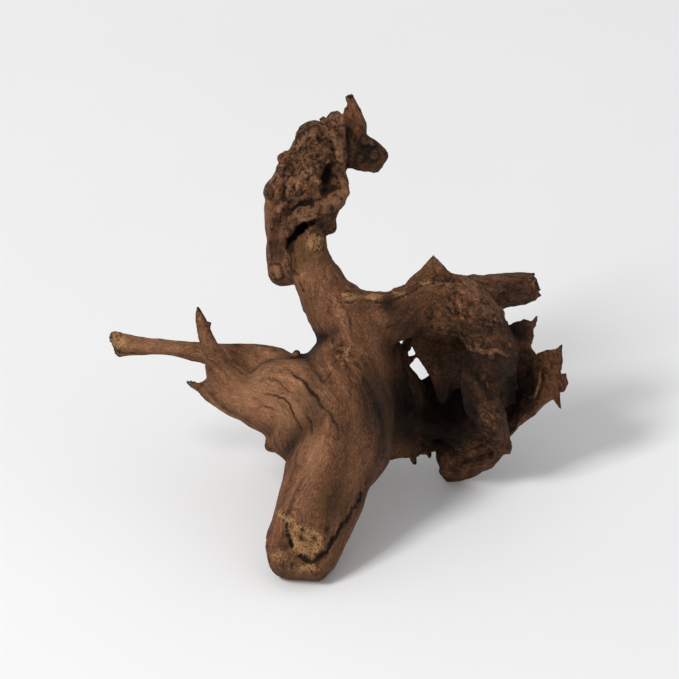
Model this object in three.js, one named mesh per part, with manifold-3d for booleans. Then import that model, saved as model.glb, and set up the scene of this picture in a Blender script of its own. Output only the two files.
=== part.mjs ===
// A gnarled piece of driftwood: a stout root stem that stands on its broken foot, a twisted curl that
// rises from the trunk, thin broken branches to the left and a hollow, shell-like burl to the right.
// It grew as one piece, so it is one solid. Run with the npm packages three and manifold-3d.
import * as THREE from "three";
import { mergeVertices } from "three/addons/utils/BufferGeometryUtils.js";
import Module from "manifold-3d";

const wasm = await Module();
wasm.setup();

// Driving sizes, in millimetres. Every point below is [x, up, back] as it looks to someone in front
// of the wood who looks down at it by LOOK_DOWN: x to the right, up the picture, and back away from
// the eye. The front foot is where up and back are about 0.
const LOOK_DOWN = THREE.MathUtils.degToRad(30);
const SHEET_THICKNESS = 4.2; // the burl's broken walls
const SHEET_EDGE = 0.4; // share of the thickness that is left at a wall's edge
const SMALLEST_RADIUS = 0.8; // of any tip
const STEEP = 0.2; // a limb that starts out nearly straight back has its width along x
const FLOOR_CUT = { width: 600, depth: 200 }; // the block below the floor that flattens the feet
const WOOD_COLOUR = 0x6d4a36;

const SIN = Math.sin(LOOK_DOWN);
const COS = Math.cos(LOOK_DOWN);
const at = ([x, up, back]) => new THREE.Vector3(x, up * SIN + back * COS, up * COS - back * SIN);
const BACK = at([0, 0, 1]);

// Seeded numbers, so that the wood comes out the same each time.
function seeded(seed) {
  let state = seed * 2654435761;
  return () => {
    state = (state + 0x6d2b79f5) | 0;
    let t = Math.imul(state ^ (state >>> 15), 1 | state);
    t = (t + Math.imul(t ^ (t >>> 7), 61 | t)) ^ t;
    return ((t ^ (t >>> 14)) >>> 0) / 4294967296;
  };
}

// A smooth wave over two numbers, from -1 to 1: around counts in turns, along in lengths.
function wave(seed) {
  const draw = seeded(seed);
  const terms = [2, 3, 5].map((lobes, i) => ({
    lobes,
    share: 0.5 / (i + 1),
    phase: draw() * 2 * Math.PI,
    drift: (draw() - 0.5) * 14,
  }));
  return (around, along) =>
    terms.reduce(
      (sum, t) => sum + t.share * Math.sin(2 * Math.PI * t.lobes * around + t.phase + t.drift * along),
      0,
    );
}

// A closed mesh, given as points and triangles, as a solid.
function solid(points, faces) {
  const geometry = new THREE.BufferGeometry();
  const numbers = points.flatMap((p) => p.toArray());
  geometry.setAttribute("position", new THREE.Float32BufferAttribute(numbers, 3));
  geometry.setIndex(faces.flat());
  return solidOf(geometry);
}

function solidOf(geometry) {
  geometry.deleteAttribute("normal");
  geometry.deleteAttribute("uv");
  const merged = mergeVertices(geometry, 1e-4);
  return new wasm.Manifold(
    new wasm.Mesh({
      numProp: 3,
      vertProperties: merged.attributes.position.array,
      triVerts: new Uint32Array(merged.index.array),
    }),
  );
}

// A limb is a swept tube with stations [x, up, back, half width, half depth]. Its width lies across
// the picture. gnarl is the share by which its radius swells and shrinks, and jag the length of the
// splinters at its far end.
function limb(stations, options = {}) {
  const { sides = 12, step = 8, gnarl = 0.08, jag = 0, seed = 1 } = options;
  const spine = new THREE.CatmullRomCurve3(stations.map(at));
  const girth = new THREE.CatmullRomCurve3(stations.map((s) => new THREE.Vector3(s[3], s[4], 0)));
  const rings = Math.max(stations.length, Math.round(spine.getLength() / step));
  const swell = wave(seed);
  const draw = seeded(seed + 100);
  const points = [];
  const faces = [];
  const wide = new THREE.Vector3().crossVectors(BACK, spine.getTangent(0));
  if (wide.length() < STEEP) wide.set(1, 0, 0);
  for (let i = 0; i <= rings; i++) {
    const t = i / rings;
    const centre = spine.getPoint(t);
    const tangent = spine.getTangent(t);
    wide.addScaledVector(tangent, -wide.dot(tangent)).normalize();
    const deep = new THREE.Vector3().crossVectors(tangent, wide).normalize();
    const size = girth.getPoint(t);
    for (let j = 0; j < sides; j++) {
      const turn = j / sides;
      const angle = 2 * Math.PI * turn;
      const reach = 1 + gnarl * swell(turn, t);
      const splinter = i === rings ? jag * draw() : 0;
      points.push(
        centre
          .clone()
          .addScaledVector(wide, Math.cos(angle) * Math.max(size.x, SMALLEST_RADIUS) * reach)
          .addScaledVector(deep, Math.sin(angle) * Math.max(size.y, SMALLEST_RADIUS) * reach)
          .addScaledVector(tangent, splinter),
      );
    }
  }
  const ring = (i, j) => i * sides + (j % sides);
  for (let i = 0; i < rings; i++) {
    for (let j = 0; j < sides; j++) {
      faces.push([ring(i, j), ring(i, j + 1), ring(i + 1, j + 1)]);
      faces.push([ring(i, j), ring(i + 1, j + 1), ring(i + 1, j)]);
    }
  }
  const first = points.push(spine.getPoint(0)) - 1;
  const last = points.push(spine.getPoint(1)) - 1;
  for (let j = 0; j < sides; j++) {
    faces.push([first, ring(0, j + 1), ring(0, j)]);
    faces.push([last, ring(rings, j), ring(rings, j + 1)]);
  }
  return solid(points, faces);
}

// A sheet is a curved wall between two rails. Each station is [left point, right point, bow], where
// bow is how far its middle stands towards the viewer. ragged is how far its broken edge wanders.
function sheet(stations, options = {}) {
  const { thickness = SHEET_THICKNESS, across = 3, step = 12, ragged = 2.2 } = options;
  const { ripple = 1.4, seed = 1 } = options;
  const left = new THREE.CatmullRomCurve3(stations.map((s) => at(s[0])));
  const right = new THREE.CatmullRomCurve3(stations.map((s) => at(s[1])));
  const bows = new THREE.CatmullRomCurve3(stations.map((s, i) => new THREE.Vector3(s[2], i, 0)));
  const length = Math.max(left.getLength(), right.getLength());
  const along = Math.max(stations.length, Math.round(length / step));
  const hills = wave(seed);
  const draw = seeded(seed + 200);
  const middle = [];
  for (let i = 0; i <= along; i++) {
    const t = i / along;
    const a = left.getPoint(t);
    const b = right.getPoint(t);
    const span = b.clone().sub(a).normalize();
    a.addScaledVector(span, (draw() - 0.5) * 2 * ragged);
    b.addScaledVector(span, (draw() - 0.5) * 2 * ragged);
    const bow = bows.getPoint(t).x;
    middle.push(
      Array.from({ length: across + 1 }, (_, j) => {
        const q = j / across;
        const lift = bow * 4 * q * (1 - q) + ripple * hills(q * 0.5, t);
        return a.clone().lerp(b, q).addScaledVector(BACK, -lift);
      }),
    );
  }
  const clampedRow = (i) => middle[Math.min(Math.max(i, 0), along)];
  const column = (j) => Math.min(Math.max(j, 0), across);
  const upper = [];
  const lower = [];
  for (let i = 0; i <= along; i++) {
    for (let j = 0; j <= across; j++) {
      const du = clampedRow(i + 1)[j].clone().sub(clampedRow(i - 1)[j]);
      const dv = middle[i][column(j + 1)].clone().sub(middle[i][column(j - 1)]);
      const normal = du.cross(dv).normalize();
      const edge = i === 0 || i === along || j === 0 || j === across;
      const half = (thickness / 2) * (edge ? SHEET_EDGE : 1);
      upper.push(middle[i][j].clone().addScaledVector(normal, half));
      lower.push(middle[i][j].clone().addScaledVector(normal, -half));
    }
  }
  const points = [...upper, ...lower];
  const top = (i, j) => i * (across + 1) + j;
  const low = (i, j) => upper.length + top(i, j);
  const faces = [];
  for (let i = 0; i < along; i++) {
    for (let j = 0; j < across; j++) {
      faces.push([top(i, j), top(i + 1, j), top(i + 1, j + 1)]);
      faces.push([top(i, j), top(i + 1, j + 1), top(i, j + 1)]);
      faces.push([low(i, j), low(i + 1, j + 1), low(i + 1, j)]);
      faces.push([low(i, j), low(i, j + 1), low(i + 1, j + 1)]);
    }
    faces.push([top(i + 1, 0), top(i, 0), low(i, 0)], [top(i + 1, 0), low(i, 0), low(i + 1, 0)]);
    faces.push([top(i, across), top(i + 1, across), low(i + 1, across)]);
    faces.push([top(i, across), low(i + 1, across), low(i, across)]);
  }
  for (let j = 0; j < across; j++) {
    faces.push([top(0, j), top(0, j + 1), low(0, j + 1)], [top(0, j), low(0, j + 1), low(0, j)]);
    faces.push([top(along, j + 1), top(along, j), low(along, j)]);
    faces.push([top(along, j + 1), low(along, j), low(along, j + 1)]);
  }
  return solid(points, faces);
}

// A lump is a bumpy ball with three half sizes: across, up and back.
function lump(centre, [wide, high, deep], { bumps = 0.12, detail = 2, seed = 1 } = {}) {
  const ball = new THREE.IcosahedronGeometry(1, detail);
  const position = ball.attributes.position;
  const hills = wave(seed);
  const p = new THREE.Vector3();
  for (let i = 0; i < position.count; i++) {
    p.fromBufferAttribute(position, i).normalize();
    const reach = 1 + bumps * hills(p.x * 0.4 + p.y * 0.3, p.z * 0.4 + p.y * 0.2);
    // z is forwards, so that the ball isn't turned inside out
    const moved = [p.x * wide * reach, p.y * high * reach, -p.z * deep * reach];
    position.setXYZ(i, ...at(centre.map((v, axis) => v + moved[axis])).toArray());
  }
  return solidOf(ball);
}

// A thorn is a small pointed spine from its root to its tip.
function thorn(root, tip, radius = 2.5) {
  return limb(
    [
      [...root, radius, radius],
      [...tip, SMALLEST_RADIUS, SMALLEST_RADIUS],
    ],
    { sides: 5, step: 30, gnarl: 0 },
  );
}

// The stem stands on its broken foot, and runs up through the trunk into the broken neck.
function stem() {
  return [
    limb(
      [
        [-29, 2, -12, 17, 13],
        [-28, 11, -9, 23.5, 20],
        [-25, 24, -4, 26, 25],
        [-18.5, 40, 2, 27, 27],
        [-11, 58, 11, 28.5, 29],
        [-7, 76, 20, 30, 32],
        [1, 95, 28, 36, 34],
        [1, 114, 34, 37, 36],
        [3, 134, 40, 35, 36],
        [9, 154, 46, 28.5, 33],
        [9.5, 172, 49, 24, 28],
        [-3, 190, 47, 20, 22],
        [-12, 206, 43, 17.5, 16],
        [-19, 221, 38, 16, 12],
        [-19.5, 233, 31, 11, 9],
        [-17.5, 242, 26, 7.5, 6],
      ],
      { sides: 20, step: 12, gnarl: 0.06, jag: 5, seed: 3 },
    ),
    thorn([-44, 32, -6], [-54.5, 25, -10], 4),
  ];
}

// The shoulder runs left from the trunk to the lower spike.
function shoulder() {
  return [
    limb(
      [
        [-4, 106, 34, 36, 32],
        [-28, 119, 31, 35, 29],
        [-44, 125, 29, 31, 23],
        [-58, 124, 27, 21, 16],
        [-68, 124, 26, 14, 12],
        [-78, 127, 25, 12, 10],
        [-90, 131, 25, 9, 7],
        [-107, 137, 27, 1, 1],
      ],
      { sides: 14, step: 12, gnarl: 0.06, seed: 5 },
    ),
    lump([-47, 94, 31], [8, 7, 8], { detail: 0, seed: 2 }),
    thorn([-48, 93, 32], [-55.5, 93, 30], 3),
    lump([-28, 155, 40], [6, 5, 6], { detail: 0, seed: 4 }),
    thorn([-20, 186, 44], [-26, 188, 42], 2.2),
  ];
}

function leftBranches() {
  return [
    // the long branch, which ends in torn wood
    limb(
      [
        [-26, 132, 44, 22, 20],
        [-46, 148, 48, 15, 14],
        [-62, 153, 52, 11, 11],
        [-78, 156, 54, 9, 9],
        [-97, 158, 56, 7.6, 8],
        [-118, 162, 58, 5.4, 6],
        [-135, 163, 59, 5.8, 6.2],
        [-148, 163, 60, 8, 7],
        [-156, 163, 61, 10, 7],
      ],
      { sides: 12, step: 9, gnarl: 0.07, jag: 3, seed: 7 },
    ),
    // the spike that stands in front of it
    limb(
      [
        [-58, 124, 34, 6, 6],
        [-71, 133, 30, 14, 9],
        [-82, 143, 23, 12, 9],
        [-86, 155, 17, 7.5, 7],
        [-91, 165, 15, 5.2, 5.5],
        [-96, 178, 12, 3.8, 3.8],
        [-99, 190, 10, 0.8, 0.8],
      ],
      { sides: 10, step: 9, gnarl: 0.08, seed: 8 },
    ),
    thorn([-94, 168, 14], [-91, 179, 13], 2),
  ];
}

// The curl twists up from behind the neck, wound from cords, and carries knobs at the top.
function curl() {
  return [
    limb(
      [
        [2, 184, 62, 17, 18],
        [-10, 202, 64, 15, 16],
        [-22, 216, 65, 14, 15],
        [-29, 230, 62, 16, 16],
        [-28, 244, 55, 20, 19],
        [-25, 256, 48, 25, 21],
        [-23, 268, 43, 27, 22],
        [-21, 280, 39, 24, 21],
        [-18, 291, 35, 20, 18],
        [-15, 301, 32, 18, 16],
        [-12, 311, 30, 14, 13],
        [-9, 318, 29, 9, 9],
      ],
      { sides: 16, step: 10, gnarl: 0.14, seed: 11 },
    ),
    lump([-38, 214, 50], [11, 10, 11], { detail: 1, seed: 6 }),
    lump([-6, 248, 42], [6, 9, 8], { detail: 0, seed: 36 }),
    lump([-45.5, 271, 36], [9, 10, 8], { detail: 1, seed: 37 }),
    lump([-33, 293, 32], [7, 7, 8], { detail: 0, seed: 38 }),
    lump([-21, 312, 28], [9, 8.5, 9], { detail: 1, seed: 39 }),
    lump([-3, 320, 28], [8.5, 8.5, 8], { detail: 1, seed: 40 }),
  ];
}

// The loose cords on the face of the curl, which frame its hollows.
function curlCords() {
  return [
    // the broad strap that sweeps round the hollow above the neck
    limb(
      [
        [2, 278, 42, 6, 8],
        [-1, 268, 36, 8, 9],
        [-8, 260, 32, 9, 10],
        [-17, 256, 28, 8, 9],
        [-28, 254, 30, 8, 9],
        [-37, 247, 34, 8, 9],
        [-42, 236, 39, 8, 9],
        [-43, 223, 44, 8, 9],
        [-40, 212, 47, 8, 9],
      ],
      { sides: 9, step: 9, gnarl: 0.16, seed: 12 },
    ),
    // the winding cord above it
    limb(
      [
        [-46, 244, 34, 6, 6],
        [-42, 256, 28, 6, 7],
        [-33, 265, 23, 6, 7],
        [-21, 271, 20, 5, 6],
        [-14, 278, 19, 5, 6],
        [-17, 287, 18, 5, 6],
        [-26, 293, 21, 6, 6],
        [-29, 303, 25, 5, 5],
      ],
      { sides: 7, step: 9, gnarl: 0.2, seed: 13 },
    ),
    // the cord down the right edge
    limb(
      [
        [-4, 318, 24, 6, 6],
        [2, 308, 24, 5, 6],
        [3, 296, 26, 5, 7],
        [1, 284, 30, 5, 7],
        [4, 272, 36, 5, 7],
      ],
      { sides: 7, step: 10, gnarl: 0.2, seed: 35 },
    ),
    // the cord up the left edge
    limb(
      [
        [-43, 226, 42, 6, 8],
        [-45, 244, 40, 6, 8],
        [-46, 262, 38, 6, 8],
        [-42, 278, 34, 6, 8],
        [-34, 294, 31, 6, 7],
      ],
      { sides: 7, step: 11, gnarl: 0.2, seed: 41 },
    ),
    // two cords that wind up behind
    limb(
      [
        [-38, 218, 68, 6, 6],
        [-28, 240, 76, 7, 7],
        [-12, 262, 66, 7, 7],
        [0, 284, 52, 7, 7],
        [4, 302, 44, 6, 6],
      ],
      { sides: 7, step: 11, gnarl: 0.2, seed: 49 },
    ),
    limb(
      [
        [-44, 246, 56, 7, 8],
        [-36, 266, 62, 7, 7],
        [-22, 284, 57, 7, 7],
        [-12, 302, 48, 7, 7],
        [-6, 316, 38, 6, 6],
      ],
      { sides: 7, step: 11, gnarl: 0.2, seed: 50 },
    ),
  ];
}

// The hooked end of the curl: a lump that hangs behind, and the chisel-like tip above it.
function hook() {
  return [
    limb(
      [
        [-6, 304, 38, 12, 10],
        [6, 300, 42, 13, 11],
        [17, 298, 45, 14, 10],
        [26, 294, 46, 11.5, 9],
        [31, 290, 45, 8, 7],
      ],
      { sides: 11, gnarl: 0.12, jag: 2, seed: 14 },
    ),
    limb(
      [
        [9, 300, 41, 10, 6],
        [11, 312, 39, 8.5, 5],
        [10.5, 323, 37, 7.5, 4.5],
        [9, 331, 36, 5.2, 3.8],
        [7, 338, 35, 2.6, 2.4],
      ],
      { sides: 8, seed: 15 },
    ),
  ];
}

// The upper walls of the burl: the smooth plate that flows out of the trunk, the ridge and the peak
// behind it, and the rough plate with its lobes.
function upperBurl() {
  return [
    limb(
      [
        [2, 164, 52, 16, 14],
        [18, 175, 47, 22, 18],
        [34, 182, 46, 20, 12],
        [48, 184, 48, 17, 7],
        [60, 190, 51, 18, 5],
        [76, 189, 50, 19, 4],
        [90, 187, 50, 18, 3],
      ],
      { sides: 12, step: 12, gnarl: 0.05, seed: 16 },
    ),
    limb(
      [
        [-8, 198, 46, 6, 7],
        [6, 199.5, 46, 4.5, 5],
        [22, 197.5, 48, 3.5, 4],
        [38, 199, 51, 3, 3],
        [50, 205, 54, 2.5, 2.5],
        [62, 209, 55, 1.5, 1.5],
      ],
      { sides: 7, step: 10, seed: 17 },
    ),
    sheet(
      [
        [[42, 184, 54], [44, 200, 60], 0],
        [[54, 184, 54], [54, 211, 61], 2],
        [[66, 184, 54], [66, 228, 62], 3],
        [[78, 184, 54], [78, 215, 62], 2],
        [[90, 182, 56], [92, 206, 66], 0],
      ],
      { thickness: 7, seed: 18 },
    ),
    sheet(
      [
        [[78, 214, 56], [90, 211, 68], 2],
        [[80, 196, 46], [106, 196, 62], 6],
        [[85, 178, 42], [114, 183, 58], 8],
        [[91, 163, 42], [121, 168, 58], 6],
      ],
      { thickness: 6, seed: 20 },
    ),
    sheet(
      [
        [[84, 180, 48], [117, 180, 60], 6],
        [[90, 161, 42], [126, 162, 58], 10],
        [[95, 147, 44], [124, 146, 58], 8],
        [[99, 139, 52], [116, 138, 60], 3],
      ],
      { thickness: 6, seed: 21 },
    ),
  ];
}

// The lower walls: the tongue down to the chin, the inner walls, the floor and the back of the hollow.
function lowerBurl() {
  return [
    sheet(
      [
        [[87, 162, 54], [122, 160, 60], 5],
        [[85, 143, 54], [121, 143, 62], 8],
        [[88, 128, 56], [116, 128, 64], 9],
        [[94, 113, 62], [115, 113, 70], 7],
        [[104, 98, 76], [119, 98, 84], 3],
        [[108, 88, 94], [118, 88, 96], 1],
      ],
      { thickness: 7, across: 4, seed: 22 },
    ),
    // the inner wall with its hanging tooth
    sheet(
      [
        [[42, 186, 52], [98, 184, 56], 0],
        [[44, 173, 60], [96, 172, 66], -4],
        [[53, 161, 68], [94, 160, 72], -6],
        [[60, 148, 74], [93, 147, 78], -6],
        [[67, 136, 76], [90, 137, 80], -3],
        [[70, 127, 76], [79, 130, 80], 0],
        [[71, 121, 76], [74, 121, 77], 0],
      ],
      { thickness: 5, across: 4, seed: 23 },
    ),
    // the wall between the stem and the hollow
    sheet(
      [
        [[26, 172, 54], [46, 163, 70], 2],
        [[26, 152, 56], [44.5, 152, 74], 4],
        [[26, 138, 58], [55, 141, 84], 5],
        [[26, 118, 62], [63, 128, 96], 7],
        [[26, 100, 66], [62, 108, 104], 8],
        [[28, 83, 74], [60, 88, 106], 6],
      ],
      { thickness: 9, across: 4, seed: 24 },
    ),
    // the floor of the hollow, and the chin in front of it
    sheet(
      [
        [[46, 86, 92], [44, 116, 108], 0],
        [[58, 88, 102], [54, 124, 116], -4],
        [[73, 92, 106], [71, 128, 122], -6],
        [[86, 92, 108], [86, 128, 122], -6],
        [[100, 94, 104], [100, 124, 116], -3],
        [[112, 96, 96], [110, 120, 106], 0],
      ],
      { thickness: 6, seed: 25 },
    ),
    sheet(
      [
        [[71, 74, 111], [68, 98, 106], 2],
        [[78, 67, 119], [80, 97, 110], 5],
        [[92, 72, 116], [93, 96, 108], 6],
        [[106, 77, 106], [106, 98, 98], 4],
        [[116, 87, 97], [114, 100, 94], 0],
      ],
      { thickness: 8, ragged: 1.5, seed: 26 },
    ),
  ];
}

// The thick shell that closes the burl behind, with the gap that light shines through. Its lower
// front has broken away, down to the chin.
function shell() {
  const bulk = lump([80, 142, 80], [41, 58, 41], { bumps: 0.14, detail: 3, seed: 42 });
  const hollow = lump([79, 142, 56], [35, 49, 56], { bumps: 0.06, detail: 2, seed: 43 });
  const gap = lump([49, 150, 98], [17, 14, 50], { detail: 1, seed: 44 });
  const mouth = lump([84, 100, 52], [50, 27, 38], { detail: 2, seed: 57 });
  return [
    bulk.subtract(hollow).subtract(gap).subtract(mouth),
    lump([100, 112, 112], [13, 11, 10], { detail: 1, seed: 45 }),
    limb(
      [
        [100, 180, 102, 13, 12],
        [84, 162, 116, 9, 9],
        [72, 138, 120, 7, 8],
        [66, 112, 114, 6, 7],
      ],
      { sides: 9, step: 9, gnarl: 0.16, seed: 46 },
    ),
  ];
}

// What stands out on the far right: the bowl, the crescent, the stub behind and the flag below it.
function rightBurl() {
  return [
    sheet(
      [
        [[116, 166, 84], [131, 164, 84], -2],
        [[117, 146, 92], [140, 149, 84], -6],
        [[114, 126, 94], [138, 129, 80], -8],
        [[108, 108, 94], [127, 110, 80], -6],
        [[107, 94, 92], [115, 94, 84], -2],
      ],
      { thickness: 5, across: 4, seed: 28 },
    ),
    sheet(
      [
        [[137, 157, 92], [156, 162, 86], 0],
        [[137, 143, 94], [154, 147, 86], 2],
        [[134, 128, 90], [154, 132, 88], 3],
        [[124, 113, 86], [140, 119, 88], 3],
        [[112, 98, 86], [121, 103, 90], 2],
        [[107, 88, 92], [115, 93, 94], 0],
      ],
      { thickness: 5, seed: 29 },
    ),
    lump([155, 137, 88], [6, 7, 5], { detail: 0, seed: 8 }),
    thorn([151, 130, 88], [155, 119, 87], 3),
    thorn([152, 156, 86], [156, 164, 85], 3),
    limb(
      [
        [66, 194, 86, 12, 12],
        [90, 199, 95, 12.5, 12],
        [112, 200, 102, 12.5, 12],
        [128, 202, 106, 11, 10],
        [136, 205, 107, 8.5, 8],
      ],
      { sides: 12, jag: 4, seed: 30 },
    ),
    sheet(
      [
        [[118, 160, 80], [114, 178, 76], 0],
        [[126, 158, 82], [124, 180, 82], 0],
        [[133, 162, 84], [133, 180, 84], 0],
        [[137, 174, 84], [139, 186, 84], 0],
      ],
      { thickness: 5, seed: 31 },
    ),
    // spines on the broken lower edge and a twig across the hole
    thorn([50, 90, 96], [53, 80, 92], 2.5),
    thorn([60, 92, 104], [64, 84, 100], 2.5),
    thorn([44, 149, 74], [57, 158, 72], 1.5),
  ];
}

// The root that props the wood up behind, a broken stub above it and a rib that ties the shell on.
function rearRoot() {
  return [
    limb(
      [
        [2, 128, 62, 24, 20],
        [-10, 120, 92, 17, 17],
        [-22, 111, 124, 13, 14],
        [-29, 101, 150, 13, 12],
        [-34, 93, 166, 15, 12],
      ],
      { sides: 12, step: 11, gnarl: 0.12, seed: 32 },
    ),
    limb(
      [
        [4, 158, 66, 16, 15],
        [-2, 162, 88, 10, 10],
        [-8, 167, 104, 7, 7],
      ],
      { sides: 8, jag: 4, gnarl: 0.12, seed: 33 },
    ),
    limb(
      [
        [10, 112, 64, 14, 14],
        [28, 108, 82, 9, 10],
        [48, 104, 98, 8, 9],
        [70, 108, 112, 8, 8],
      ],
      { sides: 8, step: 10, gnarl: 0.14, seed: 47 },
    ),
    limb(
      [
        [8, 178, 60, 15, 14],
        [28, 190, 72, 9, 9],
        [52, 193, 80, 9, 8],
        [76, 192, 84, 10, 10],
      ],
      { sides: 8, step: 10, gnarl: 0.14, seed: 48 },
    ),
  ];
}

// What has rotted or split away: the hollow in the broken foot, the split up its right side, the
// hollows in the curl.
function rotted() {
  return [
    lump([-27, 27, -32], [19, 9, 13], { bumps: 0.2, detail: 1, seed: 50 }),
    lump([-38, 22, -26], [6, 7, 12], { detail: 0, seed: 51 }),
    limb(
      [
        [-9, 4, -16, 2.5, 4],
        [-2, 17, -17, 3, 6],
        [5, 31, -14, 3, 6],
        [12, 46, -7, 2.5, 5],
        [21, 64, 2, 1, 2],
      ],
      { sides: 6, seed: 52 },
    ),
    lump([-25, 246, 32], [7, 4.5, 9], { detail: 1, seed: 53 }),
    lump([-6, 284, 19], [7, 9, 9], { bumps: 0.2, detail: 1, seed: 54 }),
    lump([-35, 279, 17], [5, 8, 7], { detail: 0, seed: 55 }),
    lump([-14, 302, 13], [5, 6, 6], { detail: 0, seed: 56 }),
  ];
}

function floorBlock() {
  const block = new THREE.BoxGeometry(FLOOR_CUT.width, FLOOR_CUT.width, FLOOR_CUT.depth);
  block.translate(0, 0, -FLOOR_CUT.depth / 2);
  return solidOf(block);
}

function geometryOf(made) {
  const mesh = made.getMesh();
  const geometry = new THREE.BufferGeometry();
  geometry.setAttribute("position", new THREE.BufferAttribute(new Float32Array(mesh.vertProperties), 3));
  geometry.setIndex(new THREE.BufferAttribute(new Uint32Array(mesh.triVerts), 1));
  geometry.computeVertexNormals();
  return geometry;
}

const grown = [
  ...stem(),
  ...shoulder(),
  ...leftBranches(),
  ...curl(),
  ...curlCords(),
  ...hook(),
  ...upperBurl(),
  ...lowerBurl(),
  ...rightBurl(),
  ...shell(),
  ...rearRoot(),
];
const joined = grown.reduce((sum, piece) => sum.add(piece));
const worn = [...rotted(), floorBlock()].reduce((rest, piece) => rest.subtract(piece), joined);
// crumbs that rotting loosened are dropped
const [kept] = worn.decompose().sort((a, b) => b.volume() - a.volume());

// The origin is the middle of the wood's box, on the floor.
const geometry = geometryOf(kept);
geometry.computeBoundingBox();
const middle = geometry.boundingBox.getCenter(new THREE.Vector3());
geometry.translate(-middle.x, -middle.y, 0);

const wood = new THREE.Mesh(
  geometry,
  new THREE.MeshStandardMaterial({ color: WOOD_COLOUR, roughness: 0.85, metalness: 0 }),
);
wood.name = "driftwood";

const part = new THREE.Group();
part.add(wood);
export default part;
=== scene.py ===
"""A gnarled piece of driftwood on a pale floor, seen from the front and a little above."""

import math

import bpy
import numpy as np
import openvdb
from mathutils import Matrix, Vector


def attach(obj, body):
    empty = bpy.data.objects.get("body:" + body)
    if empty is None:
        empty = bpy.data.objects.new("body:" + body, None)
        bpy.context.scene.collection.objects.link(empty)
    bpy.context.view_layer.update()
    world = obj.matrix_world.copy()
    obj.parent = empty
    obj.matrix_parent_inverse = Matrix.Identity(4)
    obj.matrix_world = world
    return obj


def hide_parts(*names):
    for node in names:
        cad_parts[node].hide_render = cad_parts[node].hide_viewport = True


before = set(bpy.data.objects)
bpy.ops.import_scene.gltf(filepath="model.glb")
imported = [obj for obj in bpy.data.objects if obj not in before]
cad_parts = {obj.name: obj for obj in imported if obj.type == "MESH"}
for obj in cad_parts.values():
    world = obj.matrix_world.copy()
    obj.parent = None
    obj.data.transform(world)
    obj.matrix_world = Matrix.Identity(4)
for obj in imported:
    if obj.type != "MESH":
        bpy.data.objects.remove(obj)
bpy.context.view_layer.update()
NODE = "driftwood"

# The sculpting below is in millimetres, in the part's frame.
MM = 0.001

# The photograph's view: level with its x axis, looking down.
IMAGE_SIDE = 679
PIXEL = 0.7  # mm of the wood for each pixel
LOOK_DOWN = math.radians(30)
AIM = np.array([0.0, 121.0])  # mm right and up: what the picture's middle shows
RIGHT = np.array([1.0, 0.0, 0.0])
UP = np.array([0.0, math.sin(LOOK_DOWN), math.cos(LOOK_DOWN)])
BACK = np.array([0.0, math.cos(LOOK_DOWN), -math.sin(LOOK_DOWN)])

# The sculpting grid
VOXEL = 0.9
BAND = 9  # voxels of true distance on each side of the surface
TRIANGLES = 194000
FLOW_CELL = 3.0  # mm, the grid of grain directions
SKIN = 6.0  # mm on each side of the surface that are carved
BELL_REACH = 2.5  # the spreads after which a bell's weights are left out
TINY = 1e-9  # keeps a division from meeting zero
FAR = 1e6  # farther than anything here


def linear(red, green, blue):
    """A colour as it looks on a screen, 0 to 255, as linear light."""
    share = np.array([red, green, blue]) / 255
    return np.where(share <= 0.04045, share / 12.92, ((share + 0.055) / 1.055) ** 2.4)


# Number fields

def dot(first, second):
    """The scalar products of two lists of vectors."""
    return np.einsum("ij,ij->i", first, second)


def unit(vectors):
    return vectors / (np.linalg.norm(vectors, axis=1, keepdims=True) + TINY)


def drawn_out(values, axis, count, step):
    """The numbers blended by cubic splines to count of them along an axis, step of the old ones apart."""
    spot = np.arange(count) * step
    cell = np.floor(spot).astype(int)
    t = (spot - cell).astype(np.float32)
    weights = ((1 - t) ** 3, 3 * t**3 - 6 * t**2 + 4, -3 * t**3 + 3 * t**2 + 3 * t + 1, t**3)
    across = [-1 if other == axis else 1 for other in range(3)]
    parts = [weight.reshape(across) / 6 for weight in weights]
    return sum(np.take(values, cell + k, axis) * part for k, part in enumerate(parts))


def noise_grid(seed, size, shape, step):
    """Smooth random numbers over a grid, mostly between -1 and 1, with about one hill for each size."""
    counts = [int(count * step / size) + 5 for count in shape]
    values = 1.5 * np.random.default_rng(seed).normal(size=counts).astype(np.float32)
    for axis in (2, 1, 0):
        values = drawn_out(values, axis, shape[axis], step / size)
    return values


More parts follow.
